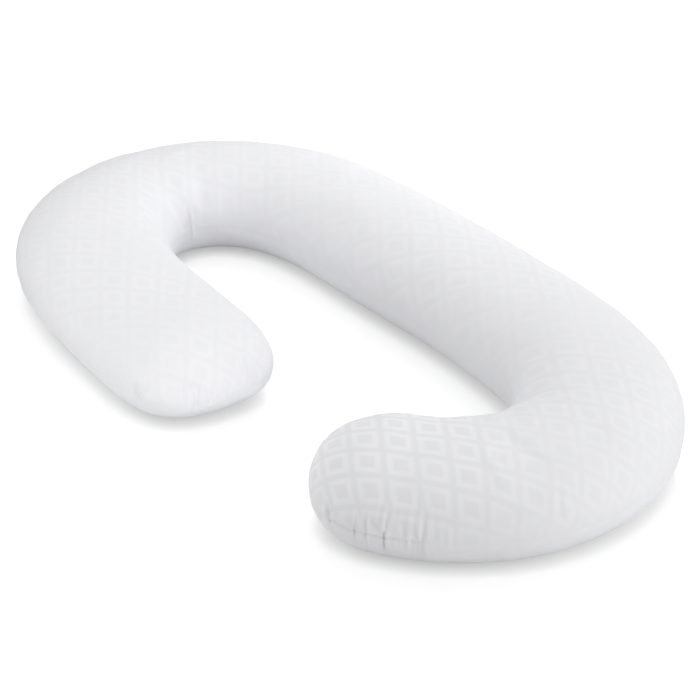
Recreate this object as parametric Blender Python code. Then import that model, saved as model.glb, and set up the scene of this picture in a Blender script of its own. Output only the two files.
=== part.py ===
"""C-shaped body pillow, filled and lying flat: one solid of two cloth panels joined by a side seam.

Units are metres and +Z is up. The back of the C runs along X on the +Y side, and both arms curl
round towards -Y. The origin is on the floor, under the middle of the pillow's box.

The pillow is lofted round its middle line. A rib starts on the middle line at the crown, runs out
and down over the widest line and the seam, and comes back under the pillow to the flat patch that
rests on the floor.
"""
import math
from collections import namedtuple

import bmesh
import bpy
import numpy as np

# Driving dimensions
MIDDLE_LINE = 2.27       # length of the middle line between the centres of the two round ends
WIDEST_SHARE = 0.45      # height of the widest line, as a share of the pillow's height
SEAM_SHARE = 0.40        # height of the seam, in the same way
FLAT_SHARE = 0.52        # share of the half width that lies flat on the floor
CROWN_POWER = 2.2        # roundness of the top across the pillow: 2 is an ellipse, more is squarer
SEAM_DEPTH = 0.003       # how far the stitching draws the side in
SEAM_SPREAD = 0.008      # distance above and below the seam over which the side recovers

# Round ends. reach: how far the end runs past the end of the middle line. power: its roundness
# in plan, like CROWN_POWER.
Tip = namedtuple("Tip", "reach power")
LEFT_TIP = Tip(0.195, 3.0)
RIGHT_TIP = Tip(0.145, 2.1)

# One row for each section across the pillow, from the left end of the middle line to the right.
# along: place on the middle line, as a share of its length. heading: direction of the middle line
# there, in degrees, where 0 is the way the back runs. outer and inner: half widths towards the
# outside and the inside of the C. height: from the floor to the crown.
Section = namedtuple("Section", "along heading outer inner height")
SECTIONS = (
    Section(0.0, 175, 0.160, 0.125, 0.147),
    Section(0.1, 168, 0.151, 0.130, 0.152),
    Section(0.2, 124, 0.155, 0.132, 0.156),
    Section(0.3, 63, 0.137, 0.132, 0.160),
    Section(0.4, 14, 0.140, 0.133, 0.163),
    Section(0.5, 0, 0.136, 0.142, 0.165),
    Section(0.6, -2, 0.134, 0.139, 0.166),
    Section(0.7, -9, 0.131, 0.142, 0.168),
    Section(0.8, -41, 0.139, 0.142, 0.168),
    Section(0.9, -98, 0.144, 0.141, 0.168),
    Section(1.0, -148, 0.141, 0.130, 0.166),
)

# Troughs where the cloth on the inside of a bend has too much length and sinks in. along: place on
# the middle line. depth: at the deepest. spread: half length, as a share of the middle line.
# turn: how far down the side it is deepest, in degrees from the crown.
Trough = namedtuple("Trough", "along depth spread turn")
TROUGHS = (
    Trough(0.245, 0.007, 0.020, 60),
    Trough(0.295, 0.005, 0.012, 65),
    Trough(0.855, 0.007, 0.022, 60),
    Trough(0.905, 0.004, 0.014, 60),
)
TROUGH_REACH = 35        # degrees of turn over which a trough fades out

# Mesh density
STATIONS = 88            # ribs along each side of the middle line
TIP_RIBS = 13            # ribs round each end
TOP_ROWS = 9             # rows from the crown to the widest line
UNDER_ROWS = 10          # rows from the widest line to the flat patch
LINE_STEPS = 400         # steps used to lay out the middle line

CLOTH_COLOUR = (0.86, 0.86, 0.88, 1.0)
CLOTH_ROUGHNESS = 0.9

# A rib: the number of the station it starts from, its foot on the middle line and its edge at the
# widest line, both in plan, its place along the middle line, whether it lies on the inside of the
# C, and the pillow's height there.
Rib = namedtuple("Rib", "station foot edge along inside height")


def clear_scene():
    for old in list(bpy.data.objects):
        bpy.data.objects.remove(old, do_unlink=True)


def column(name):
    return np.array([getattr(row, name) for row in SECTIONS], float)


def smooth(column_name, along):
    """Value of one column of SECTIONS at the places `along`, on a smooth curve through its rows."""
    places = column("along")
    values = column(column_name)
    slopes = np.gradient(values, places)
    slopes[0] = 2 * (values[1] - values[0]) / (places[1] - places[0]) - slopes[1]
    slopes[-1] = 2 * (values[-1] - values[-2]) / (places[-1] - places[-2]) - slopes[-2]
    row = np.clip(np.searchsorted(places, along) - 1, 0, len(places) - 2)
    gap = places[row + 1] - places[row]
    t = (along - places[row]) / gap
    start = (2 * t**3 - 3 * t**2 + 1) * values[row] + (t**3 - 2 * t**2 + t) * gap * slopes[row]
    end = (3 * t**2 - 2 * t**3) * values[row + 1] + (t**3 - t**2) * gap * slopes[row + 1]
    return start + end


def middle_line():
    """Places, points and headings in radians of the stations on the middle line."""
    fine = np.linspace(0, 1, LINE_STEPS + 1)
    heading = np.radians(smooth("heading", fine))
    step = MIDDLE_LINE / LINE_STEPS
    x = np.concatenate([[0], np.cumsum((np.cos(heading[1:]) + np.cos(heading[:-1])) / 2 * step)])
    y = np.concatenate([[0], np.cumsum((np.sin(heading[1:]) + np.sin(heading[:-1])) / 2 * step)])
    along = np.linspace(0, 1, STATIONS)
    points = np.stack([np.interp(along, fine, x), np.interp(along, fine, y)], axis=1)
    return along, points, np.interp(along, fine, heading)


def side_ribs(line, inside):
    """One rib at each station, on one side of the middle line."""
    along, points, heading = line
    side = -1 if inside else 1
    width = smooth("inner" if inside else "outer", along)
    height = smooth("height", along)
    across = side * np.stack([-np.sin(heading), np.cos(heading)], axis=1)
    return [Rib(i, points[i], points[i] + across[i] * width[i], along[i], inside, height[i])
            for i in range(STATIONS)]


def tip_ribs(tip, start, stop, ahead):
    """Ribs that fan round one end, from the rib `start` to the rib `stop` at the same station."""
    ribs = []
    for k in range(1, TIP_RIBS + 1):
        angle = math.pi * k / (TIP_RIBS + 1)
        side = start if angle < math.pi / 2 else stop
        sideways = abs(math.cos(angle)) ** (2 / tip.power)
        forward = math.sin(angle) ** (2 / tip.power)
        edge = side.foot + (side.edge - side.foot) * sideways + ahead * forward * tip.reach
        ribs.append(side._replace(edge=edge))
    return ribs


def lay_out_ribs():
    """All ribs in order round the pillow: outer side, right end, inner side, left end."""
    line = middle_line()
    heading = line[2]
    ahead = np.stack([np.cos(heading), np.sin(heading)], axis=1)
    outer = side_ribs(line, inside=False)
    inner = side_ribs(line, inside=True)
    right = tip_ribs(RIGHT_TIP, outer[-1], inner[-1], ahead[-1])
    left = tip_ribs(LEFT_TIP, inner[0], outer[0], -ahead[0])
    ribs = outer + right + inner[::-1] + left
    edges = np.array([rib.edge for rib in ribs])
    centre = (edges.min(axis=0) + edges.max(axis=0)) / 2
    return [rib._replace(foot=rib.foot - centre, edge=rib.edge - centre) for rib in ribs]


def rib_rows(height):
    """(turn in degrees, share of the way out, height) of each row from the crown to the floor."""
    widest = WIDEST_SHARE * height
    rows = []
    for k in range(1, TOP_ROWS + 1):
        turn = math.pi / 2 * k / TOP_ROWS
        out = math.sin(turn) ** (2 / CROWN_POWER)
        up = max(math.cos(turn), 0.0) ** (2 / CROWN_POWER)
        rows.append((math.degrees(turn), out, widest + (height - widest) * up))
    for k in range(1, UNDER_ROWS + 1):
        turn = math.pi / 2 * k / UNDER_ROWS
        out = FLAT_SHARE + (1 - FLAT_SHARE) * math.cos(turn)
        rows.append((90 + math.degrees(turn), out, widest * (1 - math.sin(turn))))
    return rows


def bump(distance, spread):
    return math.exp(-(distance / spread) ** 2)


def sink(rib, turn, z):
    """How far the surface is drawn in at one row of a rib, by the seam and by the troughs."""
    depth = SEAM_DEPTH * bump(z - SEAM_SHARE * rib.height, SEAM_SPREAD)
    if rib.inside and turn < 90:
        for trough in TROUGHS:
            lengthwise = bump(rib.along - trough.along, trough.spread)
            depth += trough.depth * lengthwise * bump(turn - trough.turn, TROUGH_REACH)
    return depth


def place_row(rib, turn, out, z):
    """Point of one row of a rib, moved in along the surface's own slope by sink()."""
    way = rib.edge - rib.foot
    depth = sink(rib, turn, z)
    tilt = math.radians(turn)
    x, y = rib.foot + way * (out - depth * math.sin(tilt) / float(np.hypot(*way)))
    return (x, y, max(z - depth * math.cos(tilt), 0.0))


def build_pillow():
    work = bmesh.new()
    ribs = lay_out_ribs()
    crown = {}
    floor = {}
    for rib in ribs:
        if rib.station not in crown:
            crown[rib.station] = work.verts.new((*rib.foot, rib.height))
            floor[rib.station] = work.verts.new((*rib.foot, 0.0))
    strips = []
    for rib in ribs:
        rows = [work.verts.new(place_row(rib, *row)) for row in rib_rows(rib.height)]
        strips.append([crown[rib.station], *rows, floor[rib.station]])
    for strip, following in zip(strips, strips[1:] + strips[:1]):
        for k in range(len(strip) - 1):
            corners = (strip[k], strip[k + 1], following[k + 1], following[k])
            work.faces.new(dict.fromkeys(corners))
    bmesh.ops.recalc_face_normals(work, faces=work.faces)
    mesh = bpy.data.meshes.new("pillow")
    work.to_mesh(mesh)
    work.free()
    mesh.shade_smooth()
    pillow = bpy.data.objects.new("pillow", mesh)
    bpy.context.collection.objects.link(pillow)
    return pillow


def white_cloth():
    cloth = bpy.data.materials.new("white_cloth")
    cloth.use_nodes = True
    shader = cloth.node_tree.nodes["Principled BSDF"]
    shader.inputs["Base Color"].default_value = CLOTH_COLOUR
    shader.inputs["Roughness"].default_value = CLOTH_ROUGHNESS
    shader.inputs["Metallic"].default_value = 0.0
    return cloth


clear_scene()
build_pillow().data.materials.append(white_cloth())
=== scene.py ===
"""Looks of the C-shaped body pillow: its puckered cloth, the floor, the lights and the camera.

Units are metres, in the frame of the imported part. The pillow's skin is laid out as part.py lays it
out, in ribs that run from the middle line over the crown to the seam and back underneath, but far
more finely. The cloth beside the seam is then settled by simulation, which puckers it, and lumps,
stitches and creases are added along the surface's normals.
"""
import math
from collections import namedtuple

import bpy
import numpy as np
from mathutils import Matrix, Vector


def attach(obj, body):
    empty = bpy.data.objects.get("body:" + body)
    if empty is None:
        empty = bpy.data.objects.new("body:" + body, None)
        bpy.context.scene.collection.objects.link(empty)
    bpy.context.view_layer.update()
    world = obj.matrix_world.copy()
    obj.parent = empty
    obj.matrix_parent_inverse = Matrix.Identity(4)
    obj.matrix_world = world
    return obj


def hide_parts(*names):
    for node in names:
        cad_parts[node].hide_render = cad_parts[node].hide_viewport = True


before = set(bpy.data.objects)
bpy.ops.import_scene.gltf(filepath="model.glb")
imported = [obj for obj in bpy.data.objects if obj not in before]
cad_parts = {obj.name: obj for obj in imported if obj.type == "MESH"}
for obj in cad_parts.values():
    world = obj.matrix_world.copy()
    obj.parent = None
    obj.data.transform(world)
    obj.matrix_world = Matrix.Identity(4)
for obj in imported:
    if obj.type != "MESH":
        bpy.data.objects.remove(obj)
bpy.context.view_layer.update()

# ---------------------------------------------------------------------------------------------
# The pillow's form, the same values as in part.py apart from a shallower seam
# ---------------------------------------------------------------------------------------------
MIDDLE_LINE = 2.27       # length of the middle line between the centres of the two round ends
WIDEST_SHARE = 0.45      # height of the widest line, as a share of the pillow's height
SEAM_SHARE = 0.40        # height of the seam, in the same way
FLAT_SHARE = 0.52        # share of the half width that lies flat on the floor
CROWN_POWER = 2.2        # roundness of the top across the pillow
SEAM_DEPTH = 0.0007      # how far the stitching draws the side in
SEAM_SPREAD = 0.008      # distance above and below the seam over which the side recovers

# reach: how far the end runs past the end of the middle line. power: its roundness in plan.
Tip = namedtuple("Tip", "reach power")
LEFT_TIP = Tip(0.195, 3.0)
RIGHT_TIP = Tip(0.145, 2.1)

# along: place on the middle line. heading: its direction there in degrees. outer and inner: half
# widths towards the outside and the inside of the C. height: from the floor to the crown.
Section = namedtuple("Section", "along heading outer inner height")
SECTIONS = (
    Section(0.0, 175, 0.160, 0.125, 0.147),
    Section(0.1, 168, 0.151, 0.130, 0.152),
    Section(0.2, 124, 0.155, 0.132, 0.156),
    Section(0.3, 63, 0.137, 0.132, 0.160),
    Section(0.4, 14, 0.140, 0.133, 0.163),
    Section(0.5, 0, 0.136, 0.142, 0.165),
    Section(0.6, -2, 0.134, 0.139, 0.166),
    Section(0.7, -9, 0.131, 0.142, 0.168),
    Section(0.8, -41, 0.139, 0.142, 0.168),
    Section(0.9, -98, 0.144, 0.141, 0.168),
    Section(1.0, -148, 0.141, 0.130, 0.166),
)

# Where the cloth sinks in on the inside of a bend. turn: how far down the side, in degrees.
Trough = namedtuple("Trough", "along depth spread turn")
TROUGHS = (
    Trough(0.245, 0.007, 0.020, 60),
    Trough(0.295, 0.005, 0.012, 65),
    Trough(0.855, 0.007, 0.022, 60),
    Trough(0.905, 0.004, 0.014, 60),
)
TROUGH_REACH = 35        # degrees of turn over which a trough fades out

# ---------------------------------------------------------------------------------------------
# Mesh density
# ---------------------------------------------------------------------------------------------
STATIONS = 620           # ribs along each side of the middle line
BEND_CROWD = 0.08        # how much closer the stations stand in the bends
END_CROWD = 1.4          # and near the two ends
TIP_RIBS = 190           # ribs round each end
TOP_ROWS = 40            # rows from the crown to the seam, closer together near the seam
UNDER_ROWS = 18          # rows from the seam to the middle of the flat patch
LINE_STEPS = 2000        # steps used to lay out the middle line
PROFILE_STEPS = 600      # steps used to lay out the section

# ---------------------------------------------------------------------------------------------
# Relief of the cloth
# ---------------------------------------------------------------------------------------------
SEED = 11
STITCH_DEPTH = 0.0004    # the fine groove of the stitched seam
STITCH_PULL = 0.010      # how much deeper it gets where all the cloth is spare
STITCH_SPREAD = 0.0018
TIP_SPARE = 0.04         # share by which the flat panel is longer than the seam round the ends
TIP_FADE = 30            # ribs over which that fades out along the sides
SIDE_SPARE = 0.003       # the same share elsewhere
PUCKER_RISE = 0.035      # how far up from the seam the spare cloth reaches
BAND_ABOVE = 0.12        # the band of cloth that is simulated, above and below the seam
BAND_BELOW = 0.045
CLOTH_STEPS = 500
STRETCH = 0.5            # how fast a thread recovers its length in one step
BEND_ALONG = 0.008       # resistance to bending along the seam, at points 2.5 mm apart
BEND_ACROSS = 0.25       # and up from the seam
FILL_HOLD = 0.0015       # how firmly the fill holds the cloth where it lies
SEAM_HOLD = 0.02         # and how firmly the stiff seam stays in its line
DAMPING = 0.9
LUMP_DEPTH = 0.0006      # soft unevenness of the fill
LUMP_SIZES = (0.09, 0.24)
FINE_LUMP_DEPTH = 0.0003
FINE_LUMP_SIZES = (0.03, 0.06)
LUMP_WAVES = 40
LUMP_FREE = 0.03         # height above the floor from which the lumps have their full depth
FLOOR_GAP = 0.0005       # least height of the cloth above the floor

# Places round the ends where more spare cloth gathers. place: metres along the seam from the left
# end of the outer side. share: how much longer the cloth is there.
Gather = namedtuple("Gather", "place spread share")
GATHERS = (
    Gather(2.960, 0.040, 0.04),
    Gather(3.005, 0.025, 0.08),
    Gather(3.050, 0.035, 0.10),
    Gather(3.105, 0.045, 0.13),
    Gather(3.165, 0.030, 0.10),
    Gather(5.240, 0.040, 0.04),
    Gather(5.375, 0.030, 0.09),
    Gather(5.473, 0.012, 0.08),
)

# Creases that the bends and the ends pull into the cloth. depth: how far it sinks in, or stands
# out where it is below 0. width: half of its width. path: points it passes, as (x, y, z).
Crease = namedtuple("Crease", "depth width path")
CREASES = (
    # Left bend, on the inner wall of the back
    Crease(0.0022, 0.0020, ((-0.465, 0.022, 0.109), (-0.458, 0.021, 0.096), (-0.454, 0.019, 0.078),
                            (-0.454, 0.019, 0.048))),
    Crease(-0.0022, 0.0026, ((-0.462, 0.026, 0.106), (-0.457, 0.025, 0.096), (-0.453, 0.023, 0.078),
                             (-0.454, 0.024, 0.048))),
    Crease(0.0010, 0.0025, ((-0.460, 0.032, 0.107), (-0.454, 0.032, 0.094), (-0.451, 0.031, 0.079))),
    # Left bend, across the arm
    Crease(0.0012, 0.0060, ((-0.446, -0.110, 0.146), (-0.418, -0.101, 0.136), (-0.407, -0.091, 0.126))),
    Crease(-0.0010, 0.0060, ((-0.434, -0.121, 0.147), (-0.404, -0.111, 0.137), (-0.388, -0.098, 0.124))),
    Crease(0.0010, 0.0060, ((-0.391, -0.134, 0.142), (-0.368, -0.124, 0.134), (-0.342, -0.125, 0.131))),
    # Outer side of the left arm
    Crease(0.0025, 0.0060, ((-0.496, -0.318, 0.112), (-0.483, -0.329, 0.095))),
    Crease(0.0015, 0.0070, ((-0.413, -0.325, 0.125), (-0.397, -0.346, 0.108))),
    # Right bend, over the crown
    Crease(-0.0016, 0.0100, ((0.495, -0.031, 0.149), (0.507, 0.008, 0.155), (0.549, 0.047, 0.166),
                             (0.600, 0.053, 0.167))),
    Crease(0.0014, 0.0100, ((0.515, -0.040, 0.155), (0.530, -0.004, 0.160), (0.560, 0.024, 0.167))),
    Crease(-0.0014, 0.0100, ((0.562, -0.092, 0.168), (0.600, -0.096, 0.166), (0.660, -0.087, 0.153))),
    Crease(0.0012, 0.0100, ((0.566, -0.112, 0.168), (0.610, -0.118, 0.163), (0.655, -0.110, 0.150))),
    Crease(-0.0014, 0.0100, ((0.560, -0.150, 0.168), (0.597, -0.170, 0.162), (0.647, -0.184, 0.141))),
    # Right bend, outer side
    Crease(-0.0008, 0.0045, ((0.690, -0.100, 0.135), (0.703, -0.112, 0.117), (0.713, -0.115, 0.090))),
    Crease(0.0007, 0.0045, ((0.686, -0.108, 0.135), (0.698, -0.122, 0.117), (0.708, -0.125, 0.090))),
    Crease(-0.0010, 0.0045, ((0.697, -0.026, 0.140), (0.712, -0.032, 0.118))),
    # Right end
    Crease(0.0036, 0.0030, ((0.460, -0.367, 0.105), (0.460, -0.372, 0.091), (0.458, -0.373, 0.075),
                            (0.458, -0.372, 0.060))),
    Crease(-0.0020, 0.0035, ((0.466, -0.365, 0.109), (0.465, -0.373, 0.082), (0.467, -0.371, 0.064))),
    Crease(-0.0014, 0.0030, ((0.487, -0.362, 0.109), (0.490, -0.369, 0.080), (0.490, -0.367, 0.062))),
    Crease(0.0016, 0.0070, ((0.529, -0.351, 0.090), (0.541, -0.345, 0.076))),
    Crease(-0.0030, 0.0028, ((0.534, -0.347, 0.095), (0.546, -0.342, 0.085), (0.553, -0.337, 0.072),
                             (0.552, -0.336, 0.060), (0.550, -0.333, 0.045))),
    Crease(-0.0018, 0.0035, ((0.577, -0.318, 0.092), (0.578, -0.318, 0.068), (0.576, -0.316, 0.051))),
    # Left end
    Crease(0.0040, 0.0034, ((-0.027, -0.393, 0.086), (-0.026, -0.395, 0.070), (-0.027, -0.393, 0.054))),
    Crease(-0.0014, 0.0032, ((0.024, -0.357, 0.093), (0.030, -0.362, 0.062))),
    Crease(0.0014, 0.0030, ((0.038, -0.336, 0.093), (0.045, -0.340, 0.062))),
    Crease(0.0020, 0.0032, ((0.040, -0.324, 0.096), (0.049, -0.329, 0.078), (0.048, -0.325, 0.049))),
    Crease(0.0016, 0.0030, ((0.049, -0.227, 0.103), (0.064, -0.235, 0.078))),
    Crease(0.0012, 0.0030, ((0.052, -0.202, 0.096), (0.064, -0.208, 0.068))),
)

# Camera
CAMERA_PLACE = (2.734, -2.170, 2.063)
CAMERA_AIM = (-0.007, 0.0455, 0.0)
CAMERA_LENS = 118.3
CAMERA_SENSOR = 36.0

# Lights and floor
WORLD_STRENGTH = 0.409
FLOOR_HALF = 20.0
FLOOR_GLOW = 0.632       # what the camera sees of the floor's own light, as of a lit white sweep,
FLOOR_SHADE = 0.45       # and the share it sees of the light and shadow that fall on the floor
CONTACT_REACH = 0.028    # distance from the pillow within which the glow starts to be shut out, a painted contact shadow
CONTACT_SHARE = 0.45     # and the share of the glow that this painted shadow shuts out under it
FLOOR_TONE = 0.95
FLOOR_ROUGHNESS = 0.12

# Round softboxes. turn: degrees from the camera's way ahead, clockwise from above. away and up: how
# far from the origin. size: diameter. power: watts. spread: degrees of its beam. aim: a point.
Softbox = namedtuple("Softbox", "name turn away up size power spread aim")
MIDDLE = (0.0, 0.0, 0.0)
LEFT_END = (0.04, -0.26, 0.05)
LIGHTS = (
    Softbox("top_back", 0, 1.50, 3.71, 2.5, 39.9, 180, MIDDLE),
    Softbox("top_front", 180, 1.50, 3.71, 2.5, 18.2, 180, MIDDLE),
    Softbox("back", 0, 3.76, 1.37, 2.5, 14.0, 180, MIDDLE),
    Softbox("right", 90, 3.76, 1.37, 2.5, 24.7, 180, MIDDLE),
    Softbox("right_front", 135, 3.76, 1.37, 2.5, 46.0, 180, MIDDLE),
    Softbox("left_near", 270, 1.15, 0.80, 0.5, 1.95, 180, MIDDLE),
    Softbox("left_low", 240, 1.15, 0.30, 0.5, 1.5, 180, MIDDLE),
    Softbox("front_low", 210, 1.15, 0.30, 0.5, 0.50, 180, MIDDLE),
    Softbox("back_near", 30, 1.15, 0.80, 0.5, 2.9, 180, MIDDLE),
    Softbox("end_low", 190, 1.15, 0.25, 0.25, 0.042, 20, LEFT_END),
)


# ---------------------------------------------------------------------------------------------
# Layout of the ribs
# ---------------------------------------------------------------------------------------------
def column(name):
    return np.array([getattr(row, name) for row in SECTIONS], float)


def smooth(column_name, along):
    """Value of one column of SECTIONS at the places `along`, on a smooth curve through its rows."""
    places = column("along")
    values = column(column_name)
    slopes = np.gradient(values, places)
    slopes[0] = 2 * (values[1] - values[0]) / (places[1] - places[0]) - slopes[1]
    slopes[-1] = 2 * (values[-1] - values[-2]) / (places[-1] - places[-2]) - slopes[-2]
    row = np.clip(np.searchsorted(places, along) - 1, 0, len(places) - 2)
    gap = places[row + 1] - places[row]
    t = (along - places[row]) / gap
    start = (2 * t**3 - 3 * t**2 + 1) * values[row] + (t**3 - 2 * t**2 + t) * gap * slopes[row]
    end = (3 * t**2 - 2 * t**3) * values[row + 1] + (t**3 - t**2) * gap * slopes[row + 1]
    return start + end


def bump(distance, spread):
    return np.exp(-(distance / spread) ** 2)


def middle_line():
    """Places, points and headings in radians of the stations on the middle line."""
    fine = np.linspace(0, 1, LINE_STEPS + 1)
    heading = np.radians(smooth("heading", fine))
    step = MIDDLE_LINE / LINE_STEPS
    x = np.concatenate([[0], np.cumsum((np.cos(heading[1:]) + np.cos(heading[:-1])) / 2 * step)])
    y = np.concatenate([[0], np.cumsum((np.sin(heading[1:]) + np.sin(heading[:-1])) / 2 * step)])
    from_end = np.minimum(fine, 1 - fine)
    crowd = 1 + BEND_CROWD * np.abs(np.gradient(heading, fine)) + END_CROWD * bump(from_end, 0.09)
    share = np.concatenate([[0], np.cumsum((crowd[1:] + crowd[:-1]) / 2)])
    along = np.interp(np.linspace(0, share[-1], STATIONS), share, fine)
    points = np.stack([np.interp(along, fine, x), np.interp(along, fine, y)], axis=1)
    return along, points, np.interp(along, fine, heading)


def tip_edges(tip, foot, start, stop, ahead):
    """Edge points evenly spaced round one end, from the edge `start` to the edge `stop`."""
    angle = np.linspace(0, math.pi, 2001)
    sideways = np.abs(np.cos(angle)) ** (2 / tip.power)
    forward = np.sin(angle).clip(0) ** (2 / tip.power)
    side = np.where(angle[:, None] < math.pi / 2, start - foot, stop - foot)
    edges = foot + side * sideways[:, None] + ahead * (forward * tip.reach)[:, None]
    length = np.concatenate([[0], np.cumsum(np.hypot(*np.diff(edges, axis=0).T))])
    places = np.linspace(0, length[-1], TIP_RIBS + 2)[1:-1]
    return np.stack([np.interp(places, length, edges[:, k]) for k in range(2)], axis=1)


Ribs = namedtuple("Ribs", "station foot edge along inside tip height")


def lay_out_ribs():
    """All ribs in order round the pillow: outer side, right end, inner side, left end."""
    along, points, heading = middle_line()
    height = smooth("height", along)
    across = np.stack([-np.sin(heading), np.cos(heading)], axis=1)
    ahead = np.stack([np.cos(heading), np.sin(heading)], axis=1)
    outer = points + across * smooth("outer", along)[:, None]
    inner = points - across * smooth("inner", along)[:, None]
    right = tip_edges(RIGHT_TIP, points[-1], outer[-1], inner[-1], ahead[-1])
    left = tip_edges(LEFT_TIP, points[0], inner[0], outer[0], -ahead[0])
    forth = np.arange(STATIONS)
    station = np.concatenate([forth, np.full(TIP_RIBS, STATIONS - 1), forth[::-1],
                              np.zeros(TIP_RIBS, int)])
    edge = np.concatenate([outer, right, inner[::-1], left])
    inside = np.zeros(len(station), bool)
    inside[STATIONS + TIP_RIBS:2 * STATIONS + TIP_RIBS] = True
    tip = np.zeros(len(station), bool)
    tip[STATIONS:STATIONS + TIP_RIBS] = True
    tip[-TIP_RIBS:] = True
    centre = (edge.min(axis=0) + edge.max(axis=0)) / 2
    return Ribs(station, points[station] - centre, edge - centre, along[station], inside, tip,
                height[station])


# ---------------------------------------------------------------------------------------------
# The section
# ---------------------------------------------------------------------------------------------
def section_profile():
    """Turn in degrees, share of the way out and share of the height, from the crown to the floor."""
    quarter = np.linspace(0, math.pi / 2, PROFILE_STEPS + 1)
    top_out = np.sin(quarter) ** (2 / CROWN_POWER)
    top_up = WIDEST_SHARE + (1 - WIDEST_SHARE) * np.cos(quarter).clip(0) ** (2 / CROWN_POWER)
    under_out = FLAT_SHARE + (1 - FLAT_SHARE) * np.cos(quarter[1:])
    under_up = WIDEST_SHARE * (1 - np.sin(quarter[1:]))
    turn = np.concatenate([np.degrees(quarter), 90 + np.degrees(quarter[1:]), [180]])
    out = np.concatenate([top_out, under_out, [0]])
    up = np.concatenate([top_up, under_up, [0]])
    return turn, out, up


def graded(first, last, count, start_share):
    """Places from first to last whose spacing starts at start_share of the mean and then grows."""
    t = np.linspace(0, 1, count + 1)
    return first + (last - first) * (start_share * t + (1 - start_share) * t**2)


def section_rows(width=0.14, height=0.165):
    """The rows of the mesh: turn, share out, share up, of each row between crown and floor middle."""
    turn, out, up = section_profile()
    length = np.concatenate([[0], np.cumsum(np.hypot(np.diff(out) * width, np.diff(up) * height))])
    below = turn > 90
    seam = np.interp(-SEAM_SHARE, -up[below], length[below])
    top = graded(seam, 0, TOP_ROWS, 0.35)[::-1]
    under = graded(seam, length[-1], UNDER_ROWS, 0.25)[1:]
    places = np.concatenate([top, under])
    return (np.interp(places, length, turn), np.interp(places, length, out),
            np.interp(places, length, up))


SEAM_ROW = TOP_ROWS


def base_grid(ribs):
    """Points of the smooth pillow, by rib and row, with part.py's seam and troughs."""
    turn, out, up = section_rows()
    way = ribs.edge - ribs.foot
    width = np.hypot(*way.T)[:, None]
    z = up[None] * ribs.height[:, None]
    depth = SEAM_DEPTH * bump(z - SEAM_SHARE * ribs.height[:, None], SEAM_SPREAD)
    on_side = (ribs.inside[:, None]) & (turn[None] < 90)
    for trough in TROUGHS:
        lengthwise = bump(ribs.along - trough.along, trough.spread)[:, None]
        depth = depth + on_side * trough.depth * lengthwise * bump(turn[None] - trough.turn,
                                                                   TROUGH_REACH)
    tilt = np.radians(turn)[None]
    share = out[None] - depth * np.sin(tilt) / width
    plan = ribs.foot[:, None] + way[:, None] * share[..., None]
    z = np.maximum(z - depth * np.cos(tilt), 0.0)
    z[:, out == 0] = np.where(turn[out == 0] > 90, 0.0, z[:, out == 0])
    return np.concatenate([plan, z[..., None]], axis=2)


def grid_normals(grid):
    """Outward unit normals of the grid, by rib and row."""
    round_about = np.roll(grid, -1, axis=0) - np.roll(grid, 1, axis=0)
    down = np.gradient(grid, axis=1)
    normal = np.cross(round_about, down)
    size = np.linalg.norm(normal, axis=2, keepdims=True)
    normal = normal / np.maximum(size, 1e-12)
    normal[:, 0] = (0, 0, 1)
    normal[:, -1] = (0, 0, -1)
    return normal


# ---------------------------------------------------------------------------------------------
# Relief
# ---------------------------------------------------------------------------------------------
def waves(points, count, sizes, seed):
    """Smooth uneven field of about unit height: a sum of seeded plane waves of the given sizes."""
    draw = np.random.default_rng(seed)
    total = np.zeros(points.shape[:-1])
    for _ in range(count):
        direction = draw.normal(size=3)
        direction /= np.linalg.norm(direction)
        size = math.exp(draw.uniform(math.log(sizes[0]), math.log(sizes[1])))
        total += np.cos(points @ direction * (2 * math.pi / size) + draw.uniform(0, 2 * math.pi))
    return total / math.sqrt(count / 2)


def seam_places(grid):
    """Distance along the seam of each rib, and distance of each point above the seam."""
    seam = grid[:, SEAM_ROW]
    steps = np.linalg.norm(np.roll(seam, -1, axis=0) - seam, axis=1)
    rows = np.linalg.norm(np.diff(grid, axis=1), axis=2)
    length = np.concatenate([np.zeros((len(grid), 1)), np.cumsum(rows, axis=1)], axis=1)
    return np.concatenate([[0], np.cumsum(steps)]), length[:, SEAM_ROW:SEAM_ROW + 1] - length


def wander(places, total, size, low, high, seed):
    """Random values between low and high that change smoothly over about `size` along the seam."""
    count = int(total / size)
    knots = np.random.default_rng(seed).uniform(low, high, count)
    spot = places / total * count
    knot = np.floor(spot).astype(int)
    t = spot - knot
    t = t * t * (3 - 2 * t)
    return knots[knot % count] * (1 - t) + knots[(knot + 1) % count] * t


def blur_round(values, reach):
    """Values smoothed over `reach` ribs to each side, round the pillow."""
    weights = bump(np.linspace(-2, 2, 2 * reach + 1), 1.0)
    padded = np.concatenate([values[-reach:], values, values[:reach]])
    return np.convolve(padded, weights / weights.sum(), "valid")


def spare_cloth(ribs, along_seam, above):
    """How much longer the flat panel is along the seam than the filled pillow, as a share.

    The flat panel's edge lies further out than the seam does once the pillow is filled. Round the
    ends that makes it too long, and the spare length puckers.
    """
    places = along_seam[:-1]
    total = along_seam[-1]
    spare = TIP_SPARE * blur_round(ribs.tip.astype(float), TIP_FADE) + SIDE_SPARE
    spare = spare * wander(places, total, 0.045, 0.15, 1.7, SEED)
    for gather in GATHERS:
        spare += gather.share * bump(places - gather.place, gather.spread)
    rise = PUCKER_RISE * wander(places, total, 0.03, 0.35, 1.5, SEED + 1)[:, None]
    rise = np.where(above > 0, rise, rise / 2)
    return spare[:, None] * np.exp(-(np.abs(above) / rise) ** 1.5)


def lengthen(step, ahead, behind, rest, share, move_ahead, move_behind):
    """Adds to two moves what brings the points `ahead` and `behind` to their rest length."""
    apart = ahead - behind
    length = np.sqrt(np.einsum("ijk,ijk->ij", apart, apart))
    pull = apart * (share * step * (length - rest) / length)[..., None]
    move_behind += pull
    move_ahead -= pull


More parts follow.
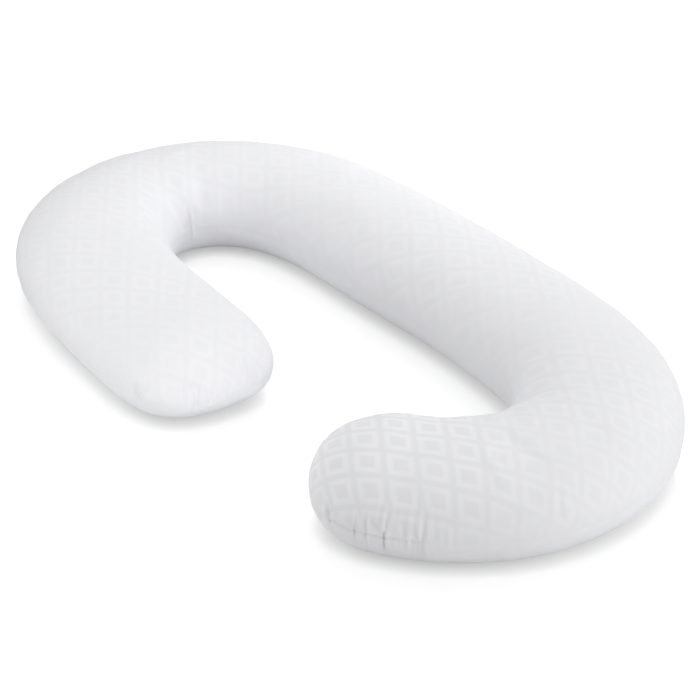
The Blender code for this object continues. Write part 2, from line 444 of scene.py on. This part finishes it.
def settle_cloth(home, normal, spare, hold):
    """Cloth simulation of the band of cloth beside the seam, which buckles where it is too long.

    Every point is joined to its neighbours along, across and askew by threads of the flat panel's
    length. It resists bending, `hold` keeps each row near its home, and the edge rows stay put.
    """
    def following(values):
        return np.roll(values, -1, axis=0)

    def length(apart):
        return np.linalg.norm(apart, axis=2)

    along = length(following(home) - home)
    across = length(home[:, 1:] - home[:, :-1])
    wide = (along[:, 1:] + along[:, :-1]) / 2
    more = wide**2 * ((1 + (spare[:, 1:] + spare[:, :-1]) / 2) ** 2 - 1)
    down = np.sqrt(length(following(home)[:, 1:] - home[:, :-1]) ** 2 + more)
    up = np.sqrt(length(following(home)[:, :-1] - home[:, 1:]) ** 2 + more)
    along = along * (1 + spare)
    middle = home.shape[1] // 2
    bend = (BEND_ALONG * (0.0025 / along[:, middle]) ** 2).clip(0.004, 0.2)[:, None, None]
    free = np.ones((1, home.shape[1], 1))
    free[:, (0, -1)] = 0
    draw = np.random.default_rng(SEED)
    points = home + normal * draw.normal(size=spare.shape)[..., None] * 0.0006 * free
    speed = np.zeros_like(points)
    for _ in range(CLOTH_STEPS):
        after = following(points)
        moved = np.zeros_like(points)
        moved_after = np.zeros_like(points)
        lengthen(STRETCH, after, points, along, 0.5, moved_after, moved)
        lengthen(STRETCH, points[:, 1:], points[:, :-1], across, 0.5, moved[:, 1:], moved[:, :-1])
        lengthen(STRETCH, after[:, 1:], points[:, :-1], down, 0.25, moved_after[:, 1:], moved[:, :-1])
        lengthen(STRETCH, after[:, :-1], points[:, 1:], up, 0.25, moved_after[:, :-1], moved[:, 1:])
        moved += np.roll(moved_after, 1, axis=0)
        off = points - home
        for _ in range(2):
            off = (np.roll(off, 1, axis=0) + np.roll(off, -1, axis=0)) / 2 - off
        moved -= bend * off
        off = points - home
        for _ in range(2):
            off[:, 1:-1] = (off[:, 2:] + off[:, :-2]) / 2 - off[:, 1:-1]
            off[:, (0, -1)] = 0
        moved -= BEND_ACROSS * off
        lift = np.einsum("ijk,ijk->ij", points - home, normal)
        moved -= (hold * lift)[..., None] * normal
        speed = (DAMPING * speed + moved / 2) * free
        points = points + speed
    return points


def pucker_seam(ribs, grid):
    """The grid with the cloth beside the seam settled by simulation."""
    along_seam, above = seam_places(grid)
    height = above.mean(axis=0)
    rows = np.nonzero((height < BAND_ABOVE) & (height > -BAND_BELOW))[0]
    spare = spare_cloth(ribs, along_seam, above)[:, rows]
    hold = FILL_HOLD + SEAM_HOLD * bump(height[rows], 2 * STITCH_SPREAD)
    settled = grid.copy()
    settled[:, rows] = settle_cloth(grid[:, rows], grid_normals(grid)[:, rows], spare, hold)
    return settled


def crease_depth(grid, normals, crease):
    """How far one crease draws each point in, fading towards both of its ends."""
    path = np.array(crease.path)
    steps = np.linalg.norm(np.diff(path, axis=0), axis=1)
    so_far = np.concatenate([[0], np.cumsum(steps)]) / steps.sum()
    nearest = np.full(grid.shape[:2], np.inf)
    place = np.zeros(grid.shape[:2])
    for k, step in enumerate(steps):
        way = (path[k + 1] - path[k]) / step
        share = ((grid - path[k]) @ way / step).clip(0, 1)
        offset = grid - path[k] - share[..., None] * way * step
        lift = np.einsum("ijk,ijk->ij", offset, normals)
        away = np.linalg.norm(offset - (0.9 * lift)[..., None] * normals, axis=2)
        place = np.where(away < nearest, so_far[k] + share * step / steps.sum(), place)
        nearest = np.minimum(away, nearest)
    fade = 1 - (2 * place - 1) ** 4 * 0.8
    return crease.depth * fade * bump(nearest, crease.width)


def relief(ribs, grid, normals):
    """Distance that each point moves outwards: the fill's soft lumps, the stitches, the creases."""
    along_seam, above = seam_places(grid)
    gathered = spare_cloth(ribs, along_seam, above)[:, SEAM_ROW:SEAM_ROW + 1]
    from_floor = np.clip(grid[..., 2] / LUMP_FREE, 0, 1)
    lumps = LUMP_DEPTH * waves(grid, LUMP_WAVES, LUMP_SIZES, SEED)
    lumps = lumps + FINE_LUMP_DEPTH * waves(grid, LUMP_WAVES, FINE_LUMP_SIZES, SEED + 1)
    drawn_in = (STITCH_DEPTH + STITCH_PULL * gathered) * bump(above, STITCH_SPREAD)
    for crease in CREASES:
        drawn_in += crease_depth(grid, normals, crease)
    return lumps * from_floor - drawn_in


# ---------------------------------------------------------------------------------------------
# Mesh
# ---------------------------------------------------------------------------------------------
def panel_places(ribs, grid):
    """Where each point lies on its flat cloth panel: out along its rib by the length of cloth."""
    _, above = seam_places(grid)
    way = (ribs.edge - ribs.foot) / np.hypot(*(ribs.edge - ribs.foot).T)[:, None]
    length = above[:, :1] - above
    under = length[:, -1:] - length
    reach = np.where(above >= -1e-9, length, under)
    reach = reach * (1 - BEND_CROP * ribs.inside[:, None] * reach)
    return ribs.foot[:, None] + way[:, None] * reach[..., None]


def build_mesh(ribs, grid):
    count, rows = grid.shape[:2]
    columns = np.arange(count)
    crown = ribs.station
    floor_at = STATIONS + ribs.station
    inner = 2 * STATIONS + columns[:, None] * (rows - 2) + np.arange(rows - 2)[None]
    index = np.concatenate([crown[:, None], inner, floor_at[:, None]], axis=1)
    places = np.zeros((2 * STATIONS + count * (rows - 2), 3))
    places[index] = grid
    uv_of = panel_places(ribs, grid)
    faces = []
    corners = []
    following = np.roll(columns, -1)
    for i in columns:
        k = following[i]
        for j in range(rows - 1):
            ring = ((i, j), (k, j), (k, j + 1), (i, j + 1))
            face = []
            spots = []
            for a, b in ring:
                if index[a, b] not in face:
                    face.append(int(index[a, b]))
                    spots.append((a, b))
            faces.append(face)
            corners.extend(spots)
    mesh = bpy.data.meshes.new("pillow_cloth")
    mesh.from_pydata(places.tolist(), [], faces)
    spots = np.array(corners)
    layer = mesh.uv_layers.new(name="panel")
    layer.data.foreach_set("uv", uv_of[spots[:, 0], spots[:, 1]].astype(np.float32).ravel())
    mesh.shade_smooth()
    mesh.update()
    cloth = bpy.data.objects.new("pillow_cloth", mesh)
    bpy.context.collection.objects.link(cloth)
    return cloth


# ---------------------------------------------------------------------------------------------
# Materials
# ---------------------------------------------------------------------------------------------
class Nodes:
    """Short ways to add and join shader nodes."""

    def __init__(self, material):
        material.use_nodes = True
        self.tree = material.node_tree
        self.shader = self.tree.nodes["Principled BSDF"]

    def add(self, kind, **settings):
        node = self.tree.nodes.new(kind)
        for name, value in settings.items():
            setattr(node, name, value)
        return node

    def join(self, source, target):
        self.tree.links.new(source, target)

    def math(self, operation, first, second=None, third=None):
        node = self.add("ShaderNodeMath", operation=operation)
        for socket, value in zip(node.inputs, (first, second, third)):
            if isinstance(value, (int, float)):
                socket.default_value = value
            elif value is not None:
                self.join(value, socket)
        return node.outputs[0]

    def between(self, value, low, high, to_low=0.0, to_high=1.0):
        node = self.add("ShaderNodeMapRange", interpolation_type="SMOOTHSTEP")
        self.join(value, node.inputs["Value"])
        for name, number in (("From Min", low), ("From Max", high), ("To Min", to_low),
                             ("To Max", to_high)):
            node.inputs[name].default_value = number
        return node.outputs[0]

    def noise(self, vector, scale, detail=2.0):
        node = self.add("ShaderNodeTexNoise")
        node.inputs["Scale"].default_value = scale
        node.inputs["Detail"].default_value = detail
        self.join(vector, node.inputs["Vector"])
        return node.outputs["Fac"]


LOZENGE_LONG = 0.086     # pitch of the lozenge trellis along and across the cloth
LOZENGE_WIDE = 0.062
BEND_CROP = 1.2          # how much the panel's layout narrows inside the C, for each metre
THREAD = 0.0006          # pitch of the woven threads
CLOTH_TONE = 0.825       # tone of the ground, and how much lighter the satin lozenges are, partly their woven pattern and partly painted sheen
SATIN_TONE = 0.055
PAINTED_SHEEN_PLACE = (0.45, -0.28, 0.15)        # on the right arm, where the painted sheen makes the lozenges stand out most
CLOTH_TINT = (0.992, 0.994, 1.02)
CLOTH_ROUGHNESS = 0.86
SATIN_SMOOTHER = 0.2     # how much less rough the satin is
SLUB_SCALE = 260.0       # uneven thickness of the threads, in its noise, tone and height
SLUB_TONE = 0.02
SLUB_HEIGHT = 0.0002
WEAVE_HEIGHT = 0.00008
SATIN_HEIGHT = 0.00004


def lozenges(nodes, x, y):
    """1 on the satin lozenges of the trellis and 0 on the ground between them."""
    a = nodes.math("ADD", nodes.math("MULTIPLY", x, 1 / LOZENGE_LONG),
                   nodes.math("MULTIPLY", y, 1 / LOZENGE_WIDE))
    b = nodes.math("SUBTRACT", nodes.math("MULTIPLY", x, 1 / LOZENGE_LONG),
                   nodes.math("MULTIPLY", y, 1 / LOZENGE_WIDE))
    off_a = nodes.math("ABSOLUTE", nodes.math("SUBTRACT", nodes.math("FRACT", a), 0.5))
    off_b = nodes.math("ABSOLUTE", nodes.math("SUBTRACT", nodes.math("FRACT", b), 0.5))
    ring = nodes.math("MAXIMUM", off_a, off_b)
    return nodes.math("MULTIPLY", nodes.between(ring, 0.18, 0.27),
                      nodes.between(ring, 0.35, 0.45, 1.0, 0.0))


def white_cloth():
    material = bpy.data.materials.new("white_cloth")
    nodes = Nodes(material)
    uv = nodes.add("ShaderNodeUVMap", uv_map="panel").outputs["UV"]
    place = nodes.add("ShaderNodeTexCoord").outputs["Object"]
    split = nodes.add("ShaderNodeSeparateXYZ")
    nodes.join(uv, split.inputs[0])
    x, y = split.outputs["X"], split.outputs["Y"]
    where = nodes.add("ShaderNodeSeparateXYZ")
    nodes.join(place, where.inputs[0])
    # Painted sheen: how strongly the lozenges show is set by place. They are strongest on the right arm
    # and on top of the pillow, where the satin would catch the light, and noise patches vary them at
    # random.
    patch = nodes.between(nodes.noise(place, 4.0), 0.38, 0.62, 0.4, 1.0)
    apart = nodes.add("ShaderNodeVectorMath", operation="DISTANCE")
    nodes.join(place, apart.inputs[0])
    apart.inputs[1].default_value = PAINTED_SHEEN_PLACE
    strength = nodes.between(apart.outputs["Value"], 0.06, 0.30, 1.0, 0.38)
    painted_sheen_on_top = nodes.between(where.outputs["Z"], 0.05, 0.13, 0.3, 1.0)
    strength = nodes.math("MULTIPLY", nodes.math("MULTIPLY", strength, patch), painted_sheen_on_top)
    motif_and_sheen = nodes.math("MULTIPLY", lozenges(nodes, x, y), strength)
    slub = nodes.noise(uv, SLUB_SCALE, 3.0)
    # The lozenges' lighter tone is partly the woven pattern and partly painted sheen.
    tone = nodes.math("ADD", CLOTH_TONE, nodes.math("MULTIPLY", motif_and_sheen, SATIN_TONE))
    uneven = nodes.math("MULTIPLY", nodes.math("SUBTRACT", slub, 0.5), SLUB_TONE)
    tone = nodes.math("ADD", tone, uneven)
    colour = nodes.add("ShaderNodeCombineColor")
    for channel, tint in enumerate(CLOTH_TINT):
        nodes.join(nodes.math("MULTIPLY", tone, tint), colour.inputs[channel])
    nodes.join(colour.outputs[0], nodes.shader.inputs["Base Color"])
    smoother = nodes.math("MULTIPLY", motif_and_sheen, SATIN_SMOOTHER)
    nodes.join(nodes.math("SUBTRACT", CLOTH_ROUGHNESS, smoother), nodes.shader.inputs["Roughness"])
    warp = nodes.math("SINE", nodes.math("MULTIPLY", x, 2 * math.pi / THREAD))
    weft = nodes.math("SINE", nodes.math("MULTIPLY", y, 2 * math.pi / THREAD))
    weave = nodes.math("MULTIPLY", nodes.math("MULTIPLY", warp, weft), WEAVE_HEIGHT)
    high = nodes.math("ADD", weave, nodes.math("MULTIPLY", slub, SLUB_HEIGHT))
    high = nodes.math("ADD", high, nodes.math("MULTIPLY", motif_and_sheen, SATIN_HEIGHT))
    lift = nodes.add("ShaderNodeBump")
    lift.inputs["Strength"].default_value = 0.7
    lift.inputs["Distance"].default_value = 1.0
    nodes.join(high, lift.inputs["Height"])
    nodes.join(lift.outputs[0], nodes.shader.inputs["Normal"])
    nodes.shader.inputs["Sheen Weight"].default_value = 0.08
    nodes.shader.inputs["Sheen Roughness"].default_value = 0.5
    nodes.shader.inputs["Specular IOR Level"].default_value = 0.3
    return material


def floor_material():
    """Pale floor, whose glow and darker contact shadow only the camera sees."""
    material = bpy.data.materials.new("studio_floor")
    nodes = Nodes(material)
    seen = nodes.add("ShaderNodeLightPath").outputs["Is Camera Ray"]
    tone = nodes.math("MULTIPLY_ADD", seen, FLOOR_TONE * (FLOOR_SHADE - 1), FLOOR_TONE)
    grey = nodes.add("ShaderNodeCombineColor")
    for channel in range(3):
        nodes.join(tone, grey.inputs[channel])
    nodes.join(grey.outputs[0], nodes.shader.inputs["Base Color"])
    # Painted contact shadow: ambient occlusion near the cloth takes part of the glow away.
    near = nodes.add("ShaderNodeAmbientOcclusion")
    near.inputs["Distance"].default_value = CONTACT_REACH
    glow_after_painted_shadow = nodes.math("MULTIPLY_ADD", near.outputs["AO"], CONTACT_SHARE, 1 - CONTACT_SHARE)
    glow = nodes.math("MULTIPLY", nodes.math("MULTIPLY", glow_after_painted_shadow, seen), FLOOR_GLOW)
    nodes.join(glow, nodes.shader.inputs["Emission Strength"])
    nodes.shader.inputs["Emission Color"].default_value = (1.0, 1.0, 1.0, 1.0)
    nodes.shader.inputs["Roughness"].default_value = FLOOR_ROUGHNESS
    nodes.shader.inputs["Specular IOR Level"].default_value = 0.5
    return material


# ---------------------------------------------------------------------------------------------
# Scene
# ---------------------------------------------------------------------------------------------
def aim(place, target):
    """Rotation that turns an object at `place` to look at `target` along its own -Z."""
    return (Vector(target) - Vector(place)).to_track_quat("-Z", "Y").to_euler()


def add_floor():
    corners = [(x * FLOOR_HALF, y * FLOOR_HALF, 0) for x, y in ((-1, -1), (1, -1), (1, 1), (-1, 1))]
    mesh = bpy.data.meshes.new("floor")
    mesh.from_pydata(corners, [], [(0, 1, 2, 3)])
    floor = bpy.data.objects.new("floor", mesh)
    bpy.context.collection.objects.link(floor)
    mesh.materials.append(floor_material())


def add_light(light):
    """Places one softbox, which the camera doesn't see, and points it at its aim."""
    ahead = math.atan2(CAMERA_AIM[1] - CAMERA_PLACE[1], CAMERA_AIM[0] - CAMERA_PLACE[0])
    bearing = ahead - math.radians(light.turn)
    place = (light.away * math.cos(bearing), light.away * math.sin(bearing), light.up)
    lamp = bpy.data.lights.new(light.name, "AREA")
    lamp.shape = "DISK"
    lamp.size = light.size
    lamp.energy = light.power
    lamp.spread = math.radians(light.spread)
    box = bpy.data.objects.new(light.name, lamp)
    box.location = place
    box.rotation_euler = aim(place, light.aim)
    box.visible_camera = False
    bpy.context.collection.objects.link(box)


def add_world(strength):
    world = bpy.data.worlds.new("studio")
    world.use_nodes = True
    world.node_tree.nodes["Background"].inputs["Color"].default_value = (1, 1, 1, 1)
    world.node_tree.nodes["Background"].inputs["Strength"].default_value = strength
    bpy.context.scene.world = world


def add_camera():
    camera = bpy.data.cameras.new("camera")
    camera.lens = CAMERA_LENS
    camera.sensor_width = CAMERA_SENSOR
    eye = bpy.data.objects.new("camera", camera)
    eye.location = CAMERA_PLACE
    eye.rotation_euler = aim(CAMERA_PLACE, CAMERA_AIM)
    bpy.context.collection.objects.link(eye)
    bpy.context.scene.camera = eye


ribs = lay_out_ribs()
grid = base_grid(ribs)
grid = pucker_seam(ribs, grid)
normals = grid_normals(grid)
grid = grid + normals * relief(ribs, grid, normals)[..., None]
grid[..., 2] = np.maximum(grid[..., 2], FLOOR_GAP)
pillow = build_mesh(ribs, grid)
pillow.data.materials.append(white_cloth())
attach(pillow, "root")
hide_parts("pillow")

add_floor()
add_world(WORLD_STRENGTH)
for light in LIGHTS:
    add_light(light)
add_camera()
bpy.context.scene.view_settings.view_transform = "Standard"
